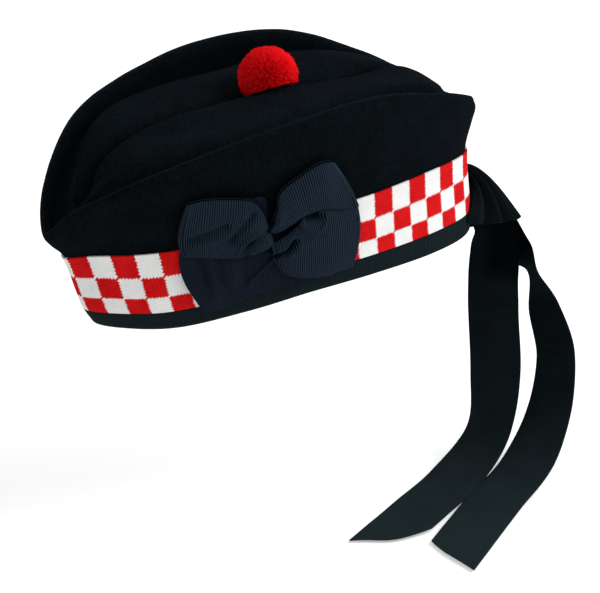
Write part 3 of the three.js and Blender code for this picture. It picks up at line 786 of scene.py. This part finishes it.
def build_toorie():
    draws = np.random.default_rng(41)
    ball = bmesh.new()
    bmesh.ops.create_icosphere(ball, subdivisions=5, radius=toorie_core["radius"])
    core = np.array([v.co for v in ball.verts])
    core_faces = np.array([[v.index for v in f.verts] for f in ball.faces])
    ball.free()
    core *= (1 + toorie_core["uneven"] * swell(core, toorie_core["size"], toorie_core["seed"]))[:, None]
    core = press_on_cloth(core + toorie_centre)
    aim = evenly_round(strand_count) + draws.normal(0, strand_stray, (strand_count, 3))
    aim /= np.linalg.norm(aim, axis=1, keepdims=True)
    tufts = evenly_round(tuft_count) + draws.normal(0, tuft_stray, (tuft_count, 3))
    tufts /= np.linalg.norm(tufts, axis=1, keepdims=True)
    nearness = aim @ tufts.T
    tuft = nearness.argmax(1)
    off_middle = np.sqrt(np.maximum(2 - 2 * nearness.max(1), 0)) / math.sqrt(4 / tuft_count)
    tuft_reach = draws.uniform(-1, 1, tuft_count)[tuft]
    tuft_tint = draws.uniform(-1, 1, tuft_count)[tuft]
    reach = toorie_radius + tuft_uneven * tuft_reach + strand_uneven * draws.uniform(-1, 1, strand_count)
    reach -= tuft_gap_depth * np.clip(off_middle - 0.5, 0, 1)
    sway = (tufts[tuft] - aim) * toorie_radius * tuft_pull + draws.normal(0, strand_bend, aim.shape)
    sway -= aim * (sway * aim).sum(1, keepdims=True)
    side = np.cross(aim, draws.normal(0, 1, aim.shape))
    side /= np.linalg.norm(side, axis=1, keepdims=True)
    other = np.cross(aim, side)
    rings = []
    for share, width, _ in strand_rings:
        out = strand_root + (reach - strand_root) * share
        spine = toorie_centre + aim * out[:, None] + sway * share**2
        for corner in range(strand_sides):
            angle = 2 * math.pi * corner / strand_sides
            rings.append(spine + (side * math.cos(angle) + other * math.sin(angle)) * strand_width * width)
    strands = press_on_cloth(np.stack(rings, 1))
    tips = strands[:, -strand_sides:].mean(1)
    clear = np.array([crown_tree.ray_cast(Vector(p) * mm, Vector((0, 0, 1)))[0] is None for p in tips])
    tint = toorie_tint_and_shade["middle"] + toorie_tint_and_shade["tuft"] * tuft_tint
    # Painted shade in the gaps between tufts
    tint = tint - toorie_tint_and_shade["gap"] * np.clip(off_middle - 0.4, 0, 1)
    tint = tint + draws.uniform(-toorie_tint_and_shade["strand"], toorie_tint_and_shade["strand"], strand_count)
    # Painted shade on the underside of the pompom
    tint = tint - toorie_tint_and_shade["under"] * np.clip(-aim[:, 2] + 0.15, 0, 1)
    strands, tint = strands[clear], tint[clear]
    per_strand = len(rings)
    last_ring = per_strand - strand_sides
    faces = []
    for low in range(0, last_ring, strand_sides):
        high = low + strand_sides
        for corner in range(strand_sides):
            following = (corner + 1) % strand_sides
            faces.append((low + corner, low + following, high + following, high + corner))
    first = np.arange(len(strands)) * per_strand
    quads = (first[:, None, None] + np.array(faces)[None]).reshape(-1, 4)
    tip_faces = first[:, None] + np.arange(last_ring, per_strand)[None]
    all_points = np.concatenate((strands.reshape(-1, 3), core))
    all_faces = quads.tolist() + tip_faces.tolist() + (core_faces + strands.size // 3).tolist()
    mesh = bpy.data.meshes.new("toorie_pompom")
    mesh.from_pydata((all_points * mm).tolist(), [], all_faces)
    shade = mesh.attributes.new("shade", "FLOAT", "POINT")
    # Painted shade towards the strand roots, on top of the strand tints
    strand_root_shade = np.repeat([ring[2] for ring in strand_rings], strand_sides)
    strand_shades = ((tint + toorie_tint_and_shade["lift"])[:, None] * strand_root_shade[None]).ravel()
    values = np.concatenate((strand_shades, np.full(len(core), toorie_core["shade"])))
    shade.data.foreach_set("value", values.astype(np.float32))
    mesh.polygons.foreach_set("use_smooth", [True] * len(mesh.polygons))
    piece = bpy.data.objects.new("toorie_pompom", mesh)
    bpy.context.scene.collection.objects.link(piece)
    return piece


def cut_wool():
    material, tree, shader = cloth_finish("cut_red_wool", 0.95, 0.04, (1, 0.35, 0.35), gloss=0.02)
    # The shade attribute holds random strand tints with painted shade at the roots, in the tuft gaps and
    # underneath
    shade = add_node(tree, "Attribute", attribute_name="shade")
    colour = ramp(
        tree, shade.node.outputs["Fac"],
        (0, (0.36, 0.0008, 0.002)), (0.5, (0.83, 0.003, 0.006)), (1, (0.93, 0.022, 0.028)),
    )
    tree.links.new(colour, shader.inputs["Base Color"])
    return material


toorie_pompom = build_toorie()
toorie_pompom.data.materials.append(cut_wool())
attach(toorie_pompom, "root")
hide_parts("toorie")

# Tail knot
# The pleated hood at the back, where the black ribbon is gathered into a fan and
# stitched down over the tails' upper ends.
hood_gather = dict(half=4, low=24, top=37, away=142)
hood_hem = dict(half=12, flare=10, flare_power=9, front=128.5, end=178, front_drop=11, end_drop=-7.5, tilt=2)
hood_bulge = 4.2
hood_fullness = 0.65
hood_facing = dict(back=0.6, up=0.5)
hem_sweep = 1.3
hood_pleats = (
    # Place of each pleat at the hem from the nearest side, its rise and its width
    (0.09, 2.4, 0.045), (0.17, -5.5, 0.042), (0.235, 2, 0.03), (0.285, -4.5, 0.028), (0.33, 1.5, 0.024),
    (0.37, -3, 0.02),
)
pleat_drift = 0.06
pleat_at_gather = 0.35
hood_columns = 240
hood_rows = 44
hood_clearance = 2.3
weft_per_mm = 2
warp_per_mm = 2.4
# Painted light along the tails, rising from the start to the end of this run in millimetres
painted_light_run = (20, 310)
# Painted shadow from the hood: where it starts and ends along the tail, and on which stretch across the tail
# it grows in
hood_shadow_run = (60, 44)
hood_shadow_side = (6, 20)


def hood_grid():
    across = np.linspace(0, 1, hood_columns + 1)[None]
    down = np.linspace(0, 1, hood_rows + 1)[:, None]
    side, out = np.cos(np.pi * across), np.sin(np.pi * across)
    shape = (hood_rows + 1, hood_columns + 1)

    def point(x, y, z):
        return np.stack([np.broadcast_to(v, shape) for v in (x, y, z)], -1)

    gather_height = hood_gather["low"] + (hood_gather["top"] - hood_gather["low"]) * out
    gather = point(hood_gather["half"] * side, hood_gather["away"], gather_height)
    hem_away = hood_hem["front"] + (hood_hem["end"] - hood_hem["front"]) * out**hem_sweep
    hem_height = hood_hem["front_drop"] + (hood_hem["end_drop"] - hood_hem["front_drop"]) * out
    hem_height = hem_height - hood_hem["tilt"] * side
    hem_side = hood_hem["half"] * side + hood_hem["flare"] * side ** hood_hem["flare_power"]
    hem = point(hem_side, hem_away, hem_height)
    away = point(side, hood_facing["back"] * out, hood_facing["up"] * out)
    away = away / np.linalg.norm(away, axis=-1, keepdims=True)
    from_side = np.minimum(across, 1 - across) - pleat_drift * (1 - down)
    ripple = sum(rise * np.exp(-(((from_side - place) / width) ** 2)) for place, rise, width in hood_pleats)
    pleats = ripple * (pleat_at_gather + (1 - pleat_at_gather) * down)
    bulge = hood_bulge * np.sin(np.pi * down**hood_fullness) + pleats - ribbon_thickness / 2
    return gather + (hem - gather) * down[..., None] + away * bulge[..., None]


def keep_outside(grid, tree, clearance):
    """Moves points that are in or too near a surface out to the clearance."""
    points = grid.reshape(-1, 3).copy()
    for k, point in enumerate(points):
        near, normal = tree.find_nearest(Vector(point) * mm)[:2]
        height = (Vector(point) * mm - near).dot(normal)
        if height < clearance * mm:
            points[k] = np.array(near + normal * clearance * mm) / mm
    return points.reshape(grid.shape)


def woven_ribbon(name, start, end, shadow):
    """Black ribbon with painted light that rises from its start to its end, and painted shadow where the
    hood hangs over it.
    """
    material, tree, shader = cloth_finish(name, 0.5, 0.03, (0.45, 0.8, 0.9), gloss=0)
    body, along, across = cloth_inputs(tree)
    weft = wave(tree, along, weft_per_mm)
    warp = wave(tree, across, warp_per_mm)
    wear = add_node(tree, "TexNoise", Vector=body, Scale=38, Detail=4, Roughness=0.55)
    fuzz = add_node(tree, "TexNoise", Vector=body, Scale=1300, Detail=2)
    tone = blend(tree, fuzz, 0.15, maths(tree, "MULTIPLY", wear, 0.35))
    tone = blend(tree, weft, 0.03, tone)
    # Painted light that rises along the ribbon towards its end
    painted_light_along = add_node(tree, "MapRange", along, *painted_light_run, start, end, interpolation_type="LINEAR")
    # Painted shadow of the hood over the top of the ribbon, on its right side
    hood_painted_shadow = add_node(tree, "MapRange", along, *hood_shadow_run, 0, shadow, interpolation_type="SMOOTHSTEP")
    right_side = add_node(tree, "MapRange", across, *hood_shadow_side, 0, 1, interpolation_type="SMOOTHSTEP")
    tone = maths(tree, "ADD", tone, blend(tree, hood_painted_shadow, right_side, painted_light_along))
    colour = ramp(
        tree, tone,
        (0.1, (0.0006, 0.0009, 0.0013)), (0.3, (0.0016, 0.0024, 0.0031)),
        (0.5, (0.0035, 0.0049, 0.0061)), (0.8, (0.0088, 0.0138, 0.0161)), (1, (0.0125, 0.0205, 0.0233)),
    )
    weave = blend(tree, warp, 0.5, weft)
    weave = blend(tree, fuzz, 0.8, weave)
    set_surface(tree, shader, colour, weave, strength=0.25, depth=0.0002)
    return material


def cloth_places(grid):
    """Cloth places in millimetres over a grid: along its rows and across its columns."""
    along = np.concatenate(([0], np.cumsum(np.linalg.norm(np.diff(grid, axis=0), axis=-1).mean(1))))
    across = np.concatenate(([0], np.cumsum(np.linalg.norm(np.diff(grid, axis=1), axis=-1).mean(0))))
    return np.stack(np.broadcast_arrays(along[:, None], across[None]), -1)


hood_middle = keep_outside(hood_grid(), crown_tree, hood_clearance)
tail_hood = cloth_sheet("tail_hood", hood_middle, ribbon_thickness, cloth_places(hood_middle))
tail_hood.data.materials.append(woven_ribbon("hood_weave", start=0.2, end=0.2, shadow=0))
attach(tail_hood, "root")
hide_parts("tail_knot")

# Tails
# Two free ends of black ribbon, 38 mm wide, that hang from under the hood at the back,
# twist and swing forward. Their ends are cut on the slant.
tail_sections = {
    # Middle of the ribbon, its turn from +X towards +Y, its tilt, its width and how far its left edge leads
    "tail_left": (
        (1.7, 150.5, 10, 90, 0, 19, 0), (2, 157.5, -9, 88, 0, 27.5, 0), (3.2, 156.6, -24, 66, 3, 30.5, 0),
        (7, 152.3, -42, 44, 6, 33, 0), (12, 148.5, -60, 32, 7, 36.5, 0), (22, 142, -100, 27, 7, 38, 0),
        (32.5, 129.5, -131, 16, 7, 37.5, 0), (50, 96, -146.5, 24, 2, 38, 0), (71, 60, -148, 26, 0, 37.5, 4),
        (88.5, 29, -149, 28, 0, 38, 34),
    ),
    "tail_right": (
        (-1.7, 150.5, 11, 90, 0, 19, 0), (-2.8, 160, -8, 84, 0, 26.3, 0), (-4, 174, -32, 56, 0, 24, 0),
        (2.5, 183, -47, -10, 8, 30, 0), (13.5, 183.9, -69, 10, 27, 33.8, 0), (30.5, 181, -93, 15, 27, 38, 0),
        (49, 164.5, -120, 24, 18, 37.5, 0), (69, 136.8, -140, 31, 8, 38, 0),
        (90, 99.8, -149, 35, 1, 37.5, 0), (131.5, 48.8, -149.5, 35, 0, 38, -25),
    ),
}
tail_cuts = {"tail_left": 8, "tail_right": 1.5}
tail_cut_skew = 1.6
tail_creases = {
    # Share of the length, reach over the width, rise and width of each crease, and how far it slants
    "tail_left": ((0.275, 0.05, 0.45, -2.2, 1, 4), (0.285, 0.0, 0.45, 0.6, 2.5, 4)),
    "tail_right": (
        (0.378, -0.3, 0.4, -2.2, 1.1, -9), (0.39, -0.3, 0.4, 0.6, 2.5, -9), (0.86, -0.3, 0.4, 0.4, 3, 5),
    ),
}
crease_taper = 0.12
# Painted light at the start and end of each tail: lighter towards the ends, the far tail kept darker as
# painted shade
tail_painted_light = {"tail_left": (0.2, 0.86), "tail_right": (0.06, 0.86)}
# Depth of the painted shadow under the hood
tail_shadow = -0.4
tail_wave = dict(rise=0.5, size=26, seed=7.9, start=60, over=60)
tail_rows = 260
tail_columns = 24


def tail_grid(name):
    table = np.array(tail_sections[name], float)
    last = len(table) - 1
    place = np.linspace(0, last, tail_rows + 1)
    path = table[:, :3]
    path = np.concatenate((2 * path[:1] - path[1:2], path, 2 * path[-1:] - path[-2:-1]))
    index = np.clip(np.floor(place).astype(int), 0, last - 1)
    middle = curve_through(*(path[index + k] for k in range(4)), (place - index)[:, None])
    onward = np.gradient(middle, axis=0)
    onward /= np.linalg.norm(onward, axis=1, keepdims=True)
    turn, tilt, width, slant = (smooth_between(column, place) for column in table[:, 3:].T)
    turn, tilt = np.radians(turn), np.radians(tilt)
    across = np.stack((np.cos(tilt) * np.cos(turn), np.cos(tilt) * np.sin(turn), np.sin(tilt)), -1)
    across -= onward * (across * onward).sum(1, keepdims=True)
    across /= np.linalg.norm(across, axis=1, keepdims=True)
    side = np.linspace(-0.5, 0.5, tail_columns + 1)[None]
    from_tip = 0.5 - side if table[-1, 6] < 0 else 0.5 + side
    cut = tail_cuts[name] * np.clip(place - last + 1, 0, 1)[:, None]
    lead = cut * np.sin(np.pi * from_tip**tail_cut_skew) - side * slant[:, None]
    grid = middle[:, None] + across[:, None] * (side * width[:, None])[..., None]
    grid = grid + onward[:, None] * lead[..., None]
    walked = walk(middle)
    free = np.clip((walked - tail_wave["start"]) / tail_wave["over"], 0, 1)
    relief = tail_wave["rise"] * free[:, None] * swell(grid, tail_wave["size"], tail_wave["seed"])
    for share, start, end, rise, breadth, lean in tail_creases[name]:
        from_line = (walked[:, None] - share * walked[-1] + side * lean) / breadth
        inside = np.clip((side - start) / crease_taper, 0, 1) * np.clip((end - side) / crease_taper, 0, 1)
        relief = relief + rise * inside * np.exp(-(from_line**2))
    return grid + grid_normals(grid) * relief[..., None]


for tail_name, (tail_start, tail_end) in tail_painted_light.items():
    tail_silk = woven_ribbon(tail_name + "_weave", tail_start, tail_end, tail_shadow)
    tail_middle = tail_grid(tail_name)
    tail = cloth_sheet(tail_name + "_ribbon", tail_middle, ribbon_thickness, cloth_places(tail_middle))
    tail.data.materials.append(tail_silk)
    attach(tail, "root")
    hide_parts(tail_name)

# Studio
# A plain white light table just under the ends of the tails, with a broad soft light above the cap's left
# back, on the right of the picture, and an even light all round.
floor_gap = 0.001
floor_half = 6
floor_level = cad_box[0].z - floor_gap
softbox = dict(place=(1.1, 1.55, 1.45), size=1.5, watts=46)
light_all_round = 0.6
floor_glow = 0.37


def build_floor():
    half = floor_half
    corners = [(-half, -half), (half, -half), (half, half), (-half, half)]
    mesh = bpy.data.meshes.new("floor")
    mesh.from_pydata([(x, y, floor_level) for x, y in corners], [], [(0, 1, 2, 3)])
    floor = bpy.data.objects.new("floor", mesh)
    bpy.context.scene.collection.objects.link(floor)
    paper = bpy.data.materials.new("floor_paper")
    paper.use_nodes = True
    shader = paper.node_tree.nodes["Principled BSDF"]
    shader.inputs["Base Color"].default_value = (0.9, 0.9, 0.9, 1)
    shader.inputs["Roughness"].default_value = 0.9
    shader.inputs["Emission Color"].default_value = (1, 1, 1, 1)
    shader.inputs["Emission Strength"].default_value = floor_glow
    mesh.materials.append(paper)


def add_softbox():
    light = bpy.data.lights.new("softbox_right", "AREA")
    light.size = softbox["size"]
    light.energy = softbox["watts"]
    box = bpy.data.objects.new("softbox_right", light)
    box.location = softbox["place"]
    box.rotation_euler = (-Vector(softbox["place"])).to_track_quat("-Z", "Y").to_euler()
    bpy.context.scene.collection.objects.link(box)


build_floor()
add_softbox()
world = bpy.data.worlds.new("studio")
world.use_nodes = True
world.node_tree.nodes["Background"].inputs["Color"].default_value = (1, 1, 1, 1)
world.node_tree.nodes["Background"].inputs["Strength"].default_value = light_all_round
bpy.context.scene.world = world
bpy.context.scene.view_settings.view_transform = "Standard"
